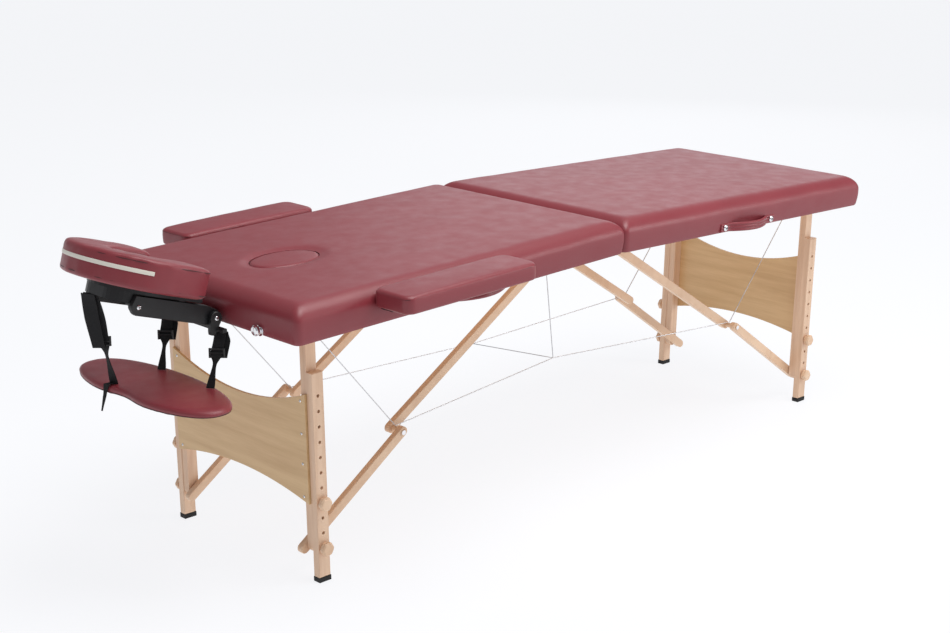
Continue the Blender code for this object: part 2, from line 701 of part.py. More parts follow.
def cam_lever(tilted, plastic):
    """The lever that locks the arms, on the right end of the cross bar; it points down when it is locked."""
    outline = arc(0, 0, 0.0135, 0.0135, -30, 210, 12)
    outline += [(-0.0070, -LEVER_LENGTH + 0.006), (-0.0040, -LEVER_LENGTH), (0.0040, -LEVER_LENGTH),
                (0.0065, -LEVER_LENGTH + 0.006)]
    y1 = ARMS_INNER_Y + ARMS_THICK + GAP
    work = prism(outline, "Y", -y1 - LEVER_THICK, -y1, 0.001, 1)
    return add_mesh("cradle_cam_lever", work, plastic, tilted)


def sling_board(root, leather):
    """A padded kidney-shaped board that hangs level under the cradle, long way across."""
    outline = []
    steps = 40
    for i in range(steps):
        angle = 2 * math.pi * i / steps
        y = SLING_HALF_LENGTH * math.cos(angle)
        x = SLING_HALF_WIDTH * math.copysign(abs(math.sin(angle)) ** 0.85, math.sin(angle))
        if x < 0:
            x += SLING_NOTCH * math.exp(-(y / 0.055) ** 2)
        outline.append((x, y))
    work = prism(outline, "Z", -SLING_THICK, 0.0, 0.005, 2)
    return add_mesh("sling_board", work, leather, root, (SLING_X, 0, SLING_Z - HINGE_Z), smooth=True)


def strap(name, root, low, high, wide, webbing):
    """A flat webbing strap between two points, twisted flat-on to the board's edge."""
    work = bmesh.new()
    rings = []
    for point, half in ((low, wide[0] / 2), (high, wide[1] / 2)):
        x, y, z = point
        half_thick = STRAP_THICK / 2
        rings.append([work.verts.new((x + a, y + b, z)) for a, b in
                      ((-half_thick, -half), (half_thick, -half), (half_thick, half), (-half_thick, half))])
    for i in range(4):
        j = (i + 1) % 4
        work.faces.new((rings[0][i], rings[0][j], rings[1][j], rings[1][i]))
    work.faces.new(rings[0])
    work.faces.new(rings[1])
    return add_mesh(name, work, webbing, root)


def half_point(sign, u, w):
    """A point of a half's frame in the hinge's level frame."""
    return (sign * (u * math.cos(TILT) + w * math.sin(TILT)), -u * math.sin(TILT) + w * math.cos(TILT))


def cable(name, points, steel):
    """A thin tube along straight runs, in the hinge's level frame."""
    curve = bpy.data.curves.new(name, "CURVE")
    curve.dimensions = "3D"
    curve.bevel_depth = CABLE_RADIUS
    curve.bevel_resolution = 1
    curve.use_fill_caps = True
    spline = curve.splines.new("POLY")
    spline.points.add(len(points) - 1)
    for target, point in zip(spline.points, points):
        target.co = (*point, 1.0)
    curve.materials.append(steel)
    made = bpy.data.objects.new(name, curve)
    bpy.context.scene.collection.objects.link(made)
    return made


def cable_points(side):
    """Anchor, elbow, middle, elbow, anchor for one long side."""
    elbow_u, elbow_w, _, _ = brace()
    y = side * (lower_link_outer() - LINK_THICK - ELBOW_SPACER / 2)
    middle = (0.0, JUNCTION_Y, JUNCTION_Z - HINGE_Z) if side < 0 else (0.0, y, FAR_MIDDLE_Z - HINGE_Z)
    ends = {}
    for sign in (-1, 1):
        anchor = half_point(sign, CABLE_ANCHOR_U, FRAME_HEIGHT - DECK - 0.002)
        elbow = half_point(sign, elbow_u, elbow_w + CABLE_RISE)
        ends[sign] = ((anchor[0], y, anchor[1]), (elbow[0], y, elbow[1]))
    return [ends[-1][0], ends[-1][1], middle, ends[1][1], ends[1][0]]


def cables(root, steel):
    for name, side in (("right_side_cable", -1), ("left_side_cable", 1)):
        made = cable(name, cable_points(side), steel)
        made.parent = root
    near = (0.0, JUNCTION_Y, JUNCTION_Z - HINGE_Z)
    far_side = cable_points(1)
    far = (0.0, far_side[2][1], far_side[2][2])
    clear = 2 * CABLE_RADIUS + GAP
    top = -HINGE_DROP - KNUCKLE_RADIUS - 0.002
    run = [(0.0, far[1] - clear, far[2]), (0.0, near[1] + clear, near[2] + clear), (0.0, HINGE_WIRE_Y, top)]
    made = cable("centre_cable", run, steel)
    made.parent = root


def leg_set(end, sign, half, wood, ply, rubber):
    """Both legs of one end, on their common pivot line, with knobs, end panel and braces."""
    axle = empty(f"{end}_leg_axis", (sign * LEG_U, 0, PIVOT_W), 0.0, half)
    end_panel(end, sign, axle, ply)
    for side_name, side in SIDES.items():
        prefix = f"{end}_{side_name}"
        inner_leg(f"{prefix}_inner_leg", axle, side, wood)
        extension_leg(f"{prefix}_extension_leg", axle, side, sign, wood)
        foot_cap(f"{prefix}_foot_cap", axle, side, sign, rubber)
        knob(f"{prefix}_upper_knob", axle, side, UPPER_KNOB_HOLE, wood)
        knob(f"{prefix}_lower_knob", axle, side, LOWER_KNOB_HOLE, wood)
        lower_link(f"{prefix}_lower_link", half, side, sign, wood)
        upper_link(f"{prefix}_upper_link", half, side, sign, wood)


def build():
    clear_scene()
    leather = material("burgundy_leather", (0.33, 0.045, 0.06), 0.42)
    wood = material("beech", (0.78, 0.55, 0.38), 0.50)
    ply = material("honey_ply", (0.70, 0.50, 0.28), 0.45)
    rubber = material("black_rubber", (0.02, 0.02, 0.02), 0.75)
    plastic = material("black_plastic", (0.015, 0.017, 0.02), 0.35)
    webbing = material("black_webbing", (0.012, 0.012, 0.014), 0.85)
    steel = material("steel", (0.62, 0.62, 0.64), 0.30, 1.0)
    chrome = material("chrome", (0.80, 0.80, 0.82), 0.08, 1.0)
    root = empty("hinge_line", (HINGE_X, 0, HINGE_Z))
    for end, sign in ENDS.items():
        half = empty(f"{end}_half", (0, 0, 0), sign * TILT, root)
        bpy.context.view_layer.update()
        frame(f"{end}_frame", end, sign, half, wood, rod_holes)
        pad(f"{end}_pad", end, sign, half, leather, rod_holes)
        hinge_leaf(end, sign, half, steel)
        carry_handle(end, sign, half, leather)
        leg_set(end, sign, half, wood, ply, rubber)
        if end == "head":
            head_fittings(half, sign, leather, chrome, plastic)
    sling_board(root, leather)
    straps(root, webbing)
    cables(root, steel)


def head_fittings(half, sign, leather, chrome, plastic):
    plug(sign, half, leather)
    for side_name, side in SIDES.items():
        latch_stud(side_name, side, half, chrome)
        armrest(side_name, side, half, leather)
        armrest_bracket(side_name, side, half, plastic)
    cradle_base(half, plastic)
    tilted = empty("cradle_axis", (-CRADLE_U, 0, CRADLE_W), CRADLE_TILT, half)
    bpy.context.view_layer.update()
    cradle_arms(tilted, plastic)
    cradle_platform(tilted, plastic)
    cradle_cushion(tilted, leather)
    cam_lever(tilted, plastic)


def cradle_point(s, n):
    """A point of the cradle's tilted frame in the hinge's level frame."""
    u = CRADLE_U + s * math.cos(CRADLE_TILT) - n * math.sin(CRADLE_TILT)
    w = CRADLE_W + s * math.sin(CRADLE_TILT) + n * math.cos(CRADLE_TILT)
    return half_point(-1, u, w)


def straps(root, webbing):
    """One strap from the front of the platform's skirt, and two from the base's lower bar."""
    board_top = SLING_Z - HINGE_Z + GAP
    front = cradle_point(SKIRT_FRONT_S - SKIRT_THICK / 2, SKIRT_LOW - 0.001)
    low = (SLING_X - 0.058, FRONT_STRAP_Y[0], board_top)
    high = (front[0], FRONT_STRAP_Y[1], front[1])
    strap("front_strap", root, low, high, (0.018, 0.038), webbing)
    rear = half_point(-1, sum(STRAP_BAR_U) / 2, STRAP_BAR_W[0] - GAP)
    for side_name, side in SIDES.items():
        low = (SLING_X + 0.060, REAR_STRAP_LOW_Y[side_name], board_top)
        high = (rear[0], side * (STRAP_BAR - 0.014), rear[1])
        strap(f"{side_name}_rear_strap", root, low, high, (0.018, 0.026), webbing)


build()
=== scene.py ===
"""Looks for the portable massage table: leather, wood, webbing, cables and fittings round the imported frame.

Metres, in the frame's own axes. In a half's frame, u runs outwards from the hinge line, y is the side and w
is the height above the lower edge of the upholstery. In the cradle's frame, s runs out along the arms and n
is up from them.
"""
import json
import math

import bmesh
import bpy
from mathutils import Matrix, Vector, noise


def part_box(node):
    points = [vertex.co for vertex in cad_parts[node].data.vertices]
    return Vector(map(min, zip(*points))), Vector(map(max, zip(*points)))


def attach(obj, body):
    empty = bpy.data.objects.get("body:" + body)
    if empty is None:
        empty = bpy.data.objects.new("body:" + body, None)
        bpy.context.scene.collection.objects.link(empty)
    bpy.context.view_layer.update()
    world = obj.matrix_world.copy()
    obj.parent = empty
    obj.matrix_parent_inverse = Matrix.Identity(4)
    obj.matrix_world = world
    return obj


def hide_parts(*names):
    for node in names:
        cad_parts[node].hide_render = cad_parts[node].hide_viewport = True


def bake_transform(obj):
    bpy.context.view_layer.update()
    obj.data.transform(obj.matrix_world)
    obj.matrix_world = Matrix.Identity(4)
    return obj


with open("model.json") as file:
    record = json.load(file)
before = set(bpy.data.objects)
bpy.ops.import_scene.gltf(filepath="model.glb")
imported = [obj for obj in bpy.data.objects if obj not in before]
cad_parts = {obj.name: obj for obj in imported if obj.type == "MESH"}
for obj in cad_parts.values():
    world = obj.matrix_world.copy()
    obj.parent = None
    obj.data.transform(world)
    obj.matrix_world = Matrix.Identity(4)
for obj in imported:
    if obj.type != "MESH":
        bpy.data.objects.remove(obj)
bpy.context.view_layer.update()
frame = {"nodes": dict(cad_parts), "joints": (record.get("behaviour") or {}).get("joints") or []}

JOINTS = {joint["name"]: joint for joint in frame["joints"]}
ENDS = {"head": -1, "foot": 1}
SIDES = {"right": -1, "left": 1}
HINGE_DROP = 0.0035        # hinge centre below the upholstery's lower edge
CLEAR = 0.0003             # between leather and what it covers

# Upholstery
PAD_ROUND = 0.031          # rounding of the pads' top edges
PAD_CORNER = 0.012         # their corners seen from above
PAD_LOW_ROUND = 0.004      # rounding of their lower edges
PAD_STEP = 0.007           # mesh size
PAD_BULGE = 0.0045         # how far the sides swell
PAD_CROWN = 0.0030         # how far their middles rise
GROOVE_DEPTH = 0.0045      # dip of the leather round the face hole
GROOVE_WIDE = 0.011
SEAM_RADIUS = 0.0009
BOLSTER_ROUND = 0.0065     # rounding of the armrests' top edges
BOLSTER_LOW_ROUND = 0.005
BOLSTER_CORNER = 0.018
BOLSTER_BULGE = 0.0018
BOLSTER_CROWN = 0.0030
BOLSTER_STEP = 0.008
BOLSTER_SEAM_DROP = 0.0060  # the seam's depth below the top

# Cradle cushion
STRIPE_START = math.radians(21)   # where the pale stripe ends, measured from the side
STRIPE_HALF = 0.0042
STRIPE_HEIGHT = 0.58       # share of the cushion's height
CUSHION_INNER = 0.4        # inner radius as a share of the outer one
SECTION_POWER = 0.24       # how square the cushion's section is; 1 is an ellipse
SEAM_SHARES = {"top": 0.86, "low": 0.14}   # heights of the cushion's two seams

# Cables
CABLE_RADIUS = 0.0011
CABLE_ANCHOR_U = 0.846     # where the cables leave the end rails
CABLE_ANCHOR_W = 0.044
CABLE_RISE = 0.0090        # the cable passes this far above the elbow bolt
CABLE_HANDOVER = 0.95      # share of a run, from its middle, drawn as one wire across both halves
SPACER_HALF = 0.0096       # from the upper link to the cable, half way across the elbow
LINK_END = 0.0103          # from the end of an upper link to its elbow
JUNCTION = (-0.093, 0.261)  # y and z of the right cable's middle, pulled in by the cross wire
FAR_MIDDLE_Z = 0.237       # height of the left cable's middle
HINGE_WIRE = (-0.056, 0.5407)  # y and z where the cross wire meets the hinge

# Fittings
PANEL_SCREW_Y = 0.205
PANEL_SCREW_W = (-0.147, -0.215, -0.2785, -0.3477)
PANEL_SCREW_RADIUS = 0.0030
HANDLE_SCREW_RADIUS = 0.0075
HANDLE_TAB = 0.015         # from a handle's end to its screw
HANDLE_FLAT = 0.034        # the flat length at each end of a handle
HANDLE_THICK = 0.0055
HANDLE_RIB = 0.0014
CRADLE_SCREW_RADIUS = 0.0048
ELBOW_CAP_RADIUS = 0.0053
SCREW_PROFILE = [(1.0, 0.0), (1.0, 0.16), (0.90, 0.34), (0.62, 0.48), (0.30, 0.54)]
ELBOW_CAP_PROFILE = [(1.0, -0.54), (1.0, 0.0), (0.90, 0.025), (0.62, 0.035), (0.30, 0.038)]

CAMERA_PLACE = (-2.6754, -2.6719, 1.4453)
CAMERA_HEADING = math.radians(44.795)   # from +Y towards +X
CAMERA_DOWN = math.radians(15.872)
CAMERA_ROLL = math.radians(0.462)
CAMERA_LENS = 64.62


# Frames of reference ------------------------------------------------------------------------------

def half_matrix(sign):
    """From (sign * u, y, w) of one half to the row frame."""
    fold = Vector(JOINTS["centre_fold"]["pos_m"])
    tilt = math.asin(abs(JOINTS["plug_lift"]["axis"][0]))
    return Matrix.Translation(fold + Vector((0, 0, HINGE_DROP))) @ Matrix.Rotation(sign * tilt, 4, "Y")


def cradle_matrix():
    """From (-s, y, n) of the cradle to the row frame."""
    pivot = Vector(JOINTS["cradle_tilt"]["pos_m"])
    reach = Vector(JOINTS["headrest_angle"]["pos_m"]) - pivot
    return Matrix.Translation(pivot) @ Matrix.Rotation(math.atan2(reach.z, -reach.x), 4, "Y")


def local_box(node, matrix):
    """Lowest and highest corner of a CAD node in a local frame."""
    back = matrix.inverted()
    points = [back @ v.co for v in frame["nodes"][node].data.vertices]
    return (Vector([min(p[i] for p in points) for i in range(3)]),
            Vector([max(p[i] for p in points) for i in range(3)]))


# Materials ----------------------------------------------------------------------------------------

def new_material(name, colour, roughness, metallic=0.0):
    made = bpy.data.materials.new(name)
    made.use_nodes = True
    shader = made.node_tree.nodes["Principled BSDF"]
    shader.inputs["Base Color"].default_value = (*colour, 1)
    shader.inputs["Roughness"].default_value = roughness
    shader.inputs["Metallic"].default_value = metallic
    return made, made.node_tree.nodes, made.node_tree.links, shader


def mapped(nodes, links, scale):
    place = nodes.new("ShaderNodeTexCoord")
    mapping = nodes.new("ShaderNodeMapping")
    mapping.inputs["Scale"].default_value = scale
    links.new(place.outputs["Object"], mapping.inputs["Vector"])
    return mapping.outputs["Vector"]


def noise_node(nodes, links, vector, scale, detail=3.0):
    made = nodes.new("ShaderNodeTexNoise")
    made.inputs["Scale"].default_value = scale
    made.inputs["Detail"].default_value = detail
    links.new(vector, made.inputs["Vector"])
    return made.outputs["Fac"]


def ramp(nodes, links, value, *stops):
    made = nodes.new("ShaderNodeValToRGB")
    elements = made.color_ramp.elements
    while len(elements) < len(stops):
        elements.new(0.5)
    for element, (position, colour) in zip(elements, stops):
        element.position = position
        element.color = (*colour, 1)
    links.new(value, made.inputs["Fac"])
    return made.outputs["Color"]


def bump(nodes, links, shader, heights, distance, strength):
    made = nodes.new("ShaderNodeBump")
    made.inputs["Strength"].default_value = strength
    made.inputs["Distance"].default_value = distance
    links.new(heights, made.inputs["Height"])
    links.new(made.outputs["Normal"], shader.inputs["Normal"])


def leather(name, light, dark, roughness):
    """Artificial leather: a pebbled grain, soft mottling and a satin coat."""
    made, nodes, links, shader = new_material(name, light, roughness)
    vector = mapped(nodes, links, (1, 1, 1))
    mottle = noise_node(nodes, links, vector, 9.0, 5.0)
    links.new(ramp(nodes, links, mottle, (0.30, dark), (0.70, light)), shader.inputs["Base Color"])
    low, high = roughness - 0.05, roughness + 0.07
    rough = ramp(nodes, links, noise_node(nodes, links, vector, 26.0), (0.3, (low,) * 3), (0.7, (high,) * 3))
    links.new(rough, shader.inputs["Roughness"])
    grain = nodes.new("ShaderNodeTexVoronoi")
    grain.inputs["Scale"].default_value = 620.0
    links.new(vector, grain.inputs["Vector"])
    bump(nodes, links, shader, grain.outputs["Distance"], 0.0005, 0.22)
    shader.inputs["Coat Weight"].default_value = 0.12
    shader.inputs["Coat Roughness"].default_value = 0.30
    return made


def wood(name, light, dark, stretch):
    """Lacquered wood, its grain drawn out along the axis where stretch is smallest."""
    made, nodes, links, shader = new_material(name, light, 0.42)
    vector = mapped(nodes, links, stretch)
    bands = noise_node(nodes, links, vector, 1.0, 6.0)
    flecks = noise_node(nodes, links, vector, 7.0, 2.0)
    mix = nodes.new("ShaderNodeMath")
    mix.operation = "MULTIPLY_ADD"
    mix.inputs[1].default_value = 0.3
    links.new(flecks, mix.inputs[0])
    links.new(bands, mix.inputs[2])
    links.new(ramp(nodes, links, mix.outputs[0], (0.42, dark), (0.80, light)), shader.inputs["Base Color"])
    bump(nodes, links, shader, flecks, 0.0003, 0.12)
    shader.inputs["Coat Weight"].default_value = 0.15
    shader.inputs["Coat Roughness"].default_value = 0.25
    return made


def moulded(name, colour, roughness, scale=420.0, strength=0.15):
    """Moulded plastic or rubber with a fine texture and a slightly uneven sheen."""
    made, nodes, links, shader = new_material(name, colour, roughness)
    vector = mapped(nodes, links, (1, 1, 1))
    bump(nodes, links, shader, noise_node(nodes, links, vector, scale), 0.0004, strength)
    low, high = max(0.05, roughness - 0.06), roughness + 0.06
    rough = ramp(nodes, links, noise_node(nodes, links, vector, 30.0), (0.3, (low,) * 3), (0.7, (high,) * 3))
    links.new(rough, shader.inputs["Roughness"])
    return made


def woven(name, colour):
    """Nylon webbing: fine cross ribs, its colour darker in the troughs between them as painted shade."""
    made, nodes, links, shader = new_material(name, colour, 0.85)
    ribs = nodes.new("ShaderNodeTexWave")
    ribs.bands_direction = "Z"
    ribs.inputs["Scale"].default_value = 190.0
    ribs.inputs["Distortion"].default_value = 0.6
    links.new(mapped(nodes, links, (1, 1, 1)), ribs.inputs["Vector"])
    bump(nodes, links, shader, ribs.outputs["Fac"], 0.0006, 0.6)
    # Painted shade: the colour falls to half in the troughs between the ribs, following the bump.
    rib_trough_shade = ramp(nodes, links, ribs.outputs["Fac"], (0.2, tuple(c * 0.5 for c in colour)), (0.8, colour))
    links.new(rib_trough_shade, shader.inputs["Base Color"])
    return made


def metal(name, colour, roughness):
    made, nodes, links, shader = new_material(name, colour, roughness, 1.0)
    vector = mapped(nodes, links, (1, 1, 1))
    low, high = roughness * 0.7, roughness * 1.4
    rough = ramp(nodes, links, noise_node(nodes, links, vector, 180.0), (0.3, (low,) * 3), (0.7, (high,) * 3))
    links.new(rough, shader.inputs["Roughness"])
    return made


BURGUNDY = leather("burgundy", (0.240, 0.029, 0.040), (0.226, 0.027, 0.037), 0.43)
SEAM = leather("burgundy_seam", (0.060, 0.008, 0.011), (0.042, 0.006, 0.008), 0.55)
PALE = leather("pale_stripe", (0.82, 0.78, 0.70), (0.74, 0.69, 0.60), 0.45)
BEECH_UPRIGHT = wood("beech_upright", (0.80, 0.56, 0.39), (0.67, 0.43, 0.28), (70, 70, 4))
BEECH_LONG = wood("beech_long", (0.81, 0.57, 0.39), (0.68, 0.44, 0.28), (9, 70, 9))
PLY = wood("honey_ply", (0.72, 0.49, 0.25), (0.60, 0.38, 0.18), (60, 3.5, 60))
PLASTIC = moulded("black_plastic", (0.0045, 0.0048, 0.006), 0.42)
RUBBER = moulded("black_rubber", (0.006, 0.006, 0.0065), 0.72, 260.0, 0.3)
WEBBING = woven("black_webbing", (0.006, 0.006, 0.0075))
STEEL = metal("steel", (0.62, 0.62, 0.64), 0.34)
CHROME = metal("chrome", (0.82, 0.82, 0.84), 0.10)


# Mesh helpers -------------------------------------------------------------------------------------

def add_piece(name, work, material, matrix=Matrix.Identity(4), sharp=35):
    """An object from a bmesh given in a local frame, smooth but for edges sharper than sharp degrees."""
    bmesh.ops.transform(work, matrix=matrix, verts=work.verts)
    bmesh.ops.recalc_face_normals(work, faces=work.faces)
    mesh = bpy.data.meshes.new(name)
    work.to_mesh(mesh)
    work.free()
    mesh.materials.append(material)
    mesh.shade_smooth()
    mesh.set_sharp_from_angle(angle=math.radians(sharp))
    made = bpy.data.objects.new(name, mesh)
    bpy.context.scene.collection.objects.link(made)
    return made


def skin(rings, closed=True, capped=True):
    """A bmesh through rings of points; closed joins each ring's ends, capped fills the first and last."""
    work = bmesh.new()
    made = [[work.verts.new(p) for p in ring] for ring in rings]
    for first, second in zip(made, made[1:]):
        count = len(first)
        for i in range(count if closed else count - 1):
            j = (i + 1) % count
            work.faces.new((first[i], first[j], second[j], second[i]))
    if capped:
        work.faces.new(made[0][::-1])
        work.faces.new(made[-1])
    return work


def oval(centre, half, z, count):
    """Points round a level oval."""
    angles = [math.tau * k / count for k in range(count)]
    return [(centre[0] + half[0] * math.cos(t), centre[1] + half[1] * math.sin(t), z) for t in angles]


def tube_rings(points, radius, sides=8, closed_path=False):
    """Rings round a path."""
    points = [Vector(p) for p in points]
    count = len(points)
    rings = []
    for i, point in enumerate(points):
        before = points[(i - 1) % count] if closed_path or i else point
        after = points[(i + 1) % count] if closed_path or i < count - 1 else point
        along = (after - before).normalized()
        across = along.cross(Vector((0, 0, 1)) if abs(along.z) < 0.9 else Vector((1, 0, 0))).normalized()
        up = across.cross(along)
        rings.append([point + radius * (math.cos(t) * across + math.sin(t) * up)
                      for t in (2 * math.pi * k / sides for k in range(sides))])
    if closed_path:
        rings.append(rings[0])
    return rings


def tube(name, points, radius, material, matrix=Matrix.Identity(4), sides=8, closed_path=False):
    rings = tube_rings(points, radius, sides, closed_path)
    work = skin(rings, capped=not closed_path)
    if closed_path:
        bmesh.ops.remove_doubles(work, verts=work.verts, dist=1e-6)
    return add_piece(name, work, material, matrix, 60)


def block(lo, hi):
    """A bmesh box between two corners."""
    work = bmesh.new()
    size, middle = hi - lo, (hi + lo) / 2
    bmesh.ops.create_cube(work, size=1.0, matrix=Matrix.Translation(middle) @ Matrix.Diagonal((*size, 1)))
    return work


def subtract(made, work):
    """Cuts the solid in a bmesh out of a piece."""
    tool = add_piece("tool", work, made.data.materials[0])
    modifier = made.modifiers.new("cut", "BOOLEAN")
    modifier.object = tool
    modifier.operation = "DIFFERENCE"
    modifier.solver = "EXACT"
    bpy.context.view_layer.update()
    mesh = bpy.data.meshes.new_from_object(made.evaluated_get(bpy.context.evaluated_depsgraph_get()))
    made.modifiers.clear()
    made.data = mesh
    bpy.data.objects.remove(tool, do_unlink=True)


def to_frame(made, matrix):
    """Moves a finished mesh from its local frame to the row frame."""
    made.data.transform(matrix)
    made.data.set_sharp_from_angle(angle=math.radians(35))
    return made


# Upholstered boxes --------------------------------------------------------------------------------

def stations(low, high, edge, step):
    """Positions from low to high, closer together within edge of each end."""
    close = [edge * i / 6 for i in range(6)]
    count = max(2, round((high - low - 2 * edge) / step))
    middle = [low + edge + (high - low - 2 * edge) * i / count for i in range(count + 1)]
    return [low + c for c in close] + middle + [high - c for c in reversed(close)]


def box_grid(lo, hi, edge, step):
    """A box whose six faces are grids that share their border points."""
    work = bmesh.new()
    axes = [stations(lo[i], hi[i], edge[i], step) for i in range(3)]
    for fixed in range(3):
        a, b = [i for i in range(3) if i != fixed]
        for level in (lo[fixed], hi[fixed]):
            rows = []
            for p in axes[a]:
                row = []
                for q in axes[b]:
                    point = [0.0, 0.0, 0.0]
                    point[fixed], point[a], point[b] = level, p, q
                    row.append(work.verts.new(point))
                rows.append(row)
            for one, two in zip(rows, rows[1:]):
                for i in range(len(one) - 1):
                    work.faces.new((one[i], two[i], two[i + 1], one[i + 1]))
    bmesh.ops.remove_doubles(work, verts=work.verts, dist=1e-6)
    return work


def soften(point, lo, hi, round_top, round_low, corner):
    """Moves a box's surface point onto the same box with rounded edges."""
    middle = (lo + hi) / 2
    half = (hi - lo) / 2
    x, y = point.x - middle.x, point.y - middle.y
    inset = min(half.x - abs(x), half.y - abs(y))
    from_top, from_low = hi.z - point.z, point.z - lo.z
    at_top = from_top <= from_low
    radius = round_top if at_top else round_low
    away = from_top if at_top else from_low
    shift, drop = inset, away
    if inset < radius and away < radius:
        angle = math.pi / 4 * (1 - away / radius + inset / radius)
        shift = radius * (1 - math.cos(angle))
        drop = radius * (1 - math.sin(angle))
    ring = Vector((max(half.x - inset, 1e-6), max(half.y - inset, 1e-6)))
    placed = Vector((half.x - shift, half.y - shift))
    x, y = x / ring.x * placed.x, y / ring.y * placed.y
    curve = min(corner, placed.x, placed.y)
    over = Vector((max(0.0, abs(x) - placed.x + curve), max(0.0, abs(y) - placed.y + curve)))
    if over.x > 0 and over.y > 0:
        over_round = over * max(over) / over.length
        x = math.copysign(placed.x - curve + over_round.x, x)
        y = math.copysign(placed.y - curve + over_round.y, y)
    z = hi.z - drop if at_top else lo.z + drop
    return Vector((middle.x + x, middle.y + y, z))


def upholstered(name, lo, hi, round_top, round_low, corner, bulge, crown, step, dip=None):
    """A leather-covered foam box in its local frame, with swollen sides and a slightly uneven crowned top."""
    reach = Vector((max(round_top, corner),) * 3)
    reach.z = min(round_top, (hi.z - lo.z) / 2.2)
    work = box_grid(lo, hi, reach, step)
    middle, half = (lo + hi) / 2, (hi - lo) / 2
    for vert in work.verts:
        p = soften(vert.co.copy(), lo, hi, round_top, round_low, corner)
        rx, ry = (p.x - middle.x) / half.x, (p.y - middle.y) / half.y
        height = (p.z - lo.z) / (hi.z - lo.z)
        swell = bulge * math.sin(math.pi * min(1.0, height)) * (1 + 0.3 * noise.noise(p * 11))
        p.x += swell * rx ** 9
        p.y += swell * ry ** 9
        if height > 0.6:
            lift = crown * max(0.0, 1 - rx ** 4) * max(0.0, 1 - ry ** 4)
            p.z += lift + 0.0005 * noise.noise(p * 14)
            if dip:
                p.z -= dip(p)
        vert.co = p
    return add_piece(name, work, BURGUNDY)


def plug_oval():
    """Centre and half axes of the plug in the head half's frame."""
    lo, hi = local_box("face_hole_plug", half_matrix(-1))
    return ((lo.x + hi.x) / 2, (lo.y + hi.y) / 2), ((hi.x - lo.x) / 2, (hi.y - lo.y) / 2)


def oval_dip(p):
    """How far the leather sinks near the rim of the face hole."""
    (cx, cy), (rx, ry) = plug_oval_size
    share = math.hypot((p.x - cx) / rx, (p.y - cy) / ry)
    away = (share - 1) * min(rx, ry)
    return GROOVE_DEPTH * math.exp(-(away / GROOVE_WIDE) ** 2)


def pads():
    for end, sign in ENDS.items():
        matrix = half_matrix(sign)
        lo, hi = local_box(f"{end}_pad", matrix)
        made = upholstered(f"{end}_upholstery", lo, hi, PAD_ROUND, PAD_LOW_ROUND, PAD_CORNER, PAD_BULGE,
                           PAD_CROWN, PAD_STEP, oval_dip if end == "head" else None)
        low, high = local_box(f"{end}_frame", matrix)
        subtract(made, block(low - Vector((CLEAR, CLEAR, 0.02)), high + Vector((CLEAR, CLEAR, CLEAR))))
        if end == "head":
            centre, (rx, ry) = plug_oval_size
            hole = (rx + 0.001, ry + 0.001)
            subtract(made, skin([oval(centre, hole, z, 72) for z in (high.z - 0.01, hi.z + 0.02)]))
        to_frame(made, matrix)
        finish_soft(made, f"{end}_table", f"{end}_pad")


def finish_soft(made, body, node):
    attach(made, body)
    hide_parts(node)


def plug_profile(reach):
    """(inset, share of the height) up the plug's wall, over its rounded edge and across its crowned top."""
    profile = [(0.0, 0.0), (0.0, 0.45), (0.0, 0.72)]
    for k in range(1, 7):
        t = math.pi / 2 * k / 6
        profile.append((0.010 * (1 - math.cos(t)), 0.72 + 0.22 * math.sin(t)))
    for k in range(1, 9):
        profile.append((0.010 + (reach - 0.012) * k / 8, 0.94 + 0.06 * math.sin(math.pi / 2 * k / 8)))
    return profile


def plug():
    """The oval cushion that fills the face hole, and a dark tube in the gap round it as painted shade."""
    matrix = half_matrix(-1)
    lo, hi = local_box("face_hole_plug", matrix)
    centre, (rx, ry) = plug_oval_size
    rings = []
    for inset, share in plug_profile(min(rx, ry)):
        z = lo.z + (hi.z - lo.z) * share
        rings.append(oval(centre, (rx - inset, ry - inset), z, 72))
    made = add_piece("plug_cushion", skin(rings), BURGUNDY, matrix)
    finish_soft(made, "face_hole_plug", "face_hole_plug")
    # A dark tube in the gap between plug and pad: painted shade of the gap, not a seam.
    line = oval(centre, (rx + 0.0018, ry + 0.0018), hi.z - 0.0065, 96)
    seam = tube("face_hole_gap_shade", line, SEAM_RADIUS * 1.6, SEAM, matrix, 8, True)
    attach(seam, "head_table")


def armrests():
    """Padded bolsters with a seam round their top edge."""
    matrix = half_matrix(-1)
    for side_name in SIDES:
        node = f"{side_name}_armrest"
        lo, hi = local_box(node, matrix)
        made = upholstered(f"{side_name}_bolster", lo, hi, BOLSTER_ROUND, BOLSTER_LOW_ROUND, BOLSTER_CORNER,
                           BOLSTER_BULGE, BOLSTER_CROWN, BOLSTER_STEP)
        to_frame(made, matrix)
        finish_soft(made, node, node)
        inset = Vector((-0.0006, -0.0006, 0))
        points = [soften(Vector((x, y, hi.z)), lo, hi, 1e-5, 1e-5, BOLSTER_CORNER)
                  for x, y in outline_walk(lo + inset, hi - inset, 26)]
        line = [(p.x, p.y, hi.z - BOLSTER_SEAM_DROP) for p in points]
        seam = tube(f"{side_name}_bolster_seam", line, SEAM_RADIUS, SEAM, matrix, 6, True)
        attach(seam, node)


def outline_walk(lo, hi, steps):
    """Points round a rectangle, closer together near its corners."""
    share = [(1 - math.cos(math.pi * i / steps)) / 2 for i in range(steps)]
    points = [(lo.x + (hi.x - lo.x) * t, lo.y) for t in share]
    points += [(hi.x, lo.y + (hi.y - lo.y) * t) for t in share]
    points += [(hi.x - (hi.x - lo.x) * t, hi.y) for t in share]
    points += [(lo.x, hi.y - (hi.y - lo.y) * t) for t in share]
    return points


plug_oval_size = plug_oval()


# Face cradle --------------------------------------------------------------------------------------

